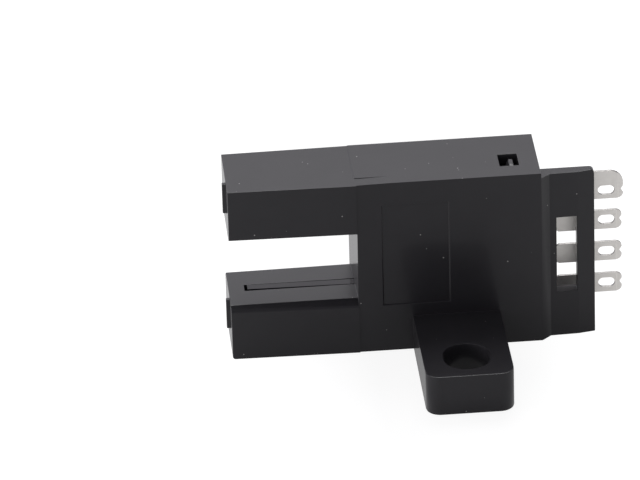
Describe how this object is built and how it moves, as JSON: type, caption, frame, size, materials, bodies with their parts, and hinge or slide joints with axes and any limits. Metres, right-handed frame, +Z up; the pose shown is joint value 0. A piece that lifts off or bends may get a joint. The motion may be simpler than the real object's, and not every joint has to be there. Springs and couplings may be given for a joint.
{
  "type": "slotted optical switch",
  "caption": "Slotted optical switch: black moulded fork with a light barrier across its slot, a side fixing tab with an oblong screw hole, a rear latch plate and flat terminals.",
  "frame": {"origin": "centre of the footprint, on the face the switch sits on", "axes": "+X from the fork tips towards the terminals, +Y from the fixing tab towards the back, +Z up"},
  "size_m": [0.028, 0.0154, 0.0132],
  "materials": {
    "moulding": "semi-gloss black moulded polyester",
    "window": "polished dark infrared-pass plastic",
    "tinned": "bright tin plating on copper alloy",
    "board": "green solder mask on glass epoxy",
    "ceramic": "fired ceramic",
    "package": "moulded dark epoxy"
  },
  "bodies": {
    "root": {"case": "moulding", "terminal_holder": "moulding", "terminal_supply": "tinned", "terminal_mode": "tinned", "terminal_output": "tinned", "terminal_ground": "tinned", "circuit_board": "board", "emitter_window": "window", "emitter": "package", "emitter_lead_anode": "tinned", "emitter_lead_cathode": "tinned", "receiver_window": "window", "receiver": "package", "receiver_lead_supply": "tinned", "receiver_lead_output": "tinned", "receiver_lead_ground": "tinned", "series_resistor": "ceramic", "output_transistor": "package"}
  },
  "joints": []
}
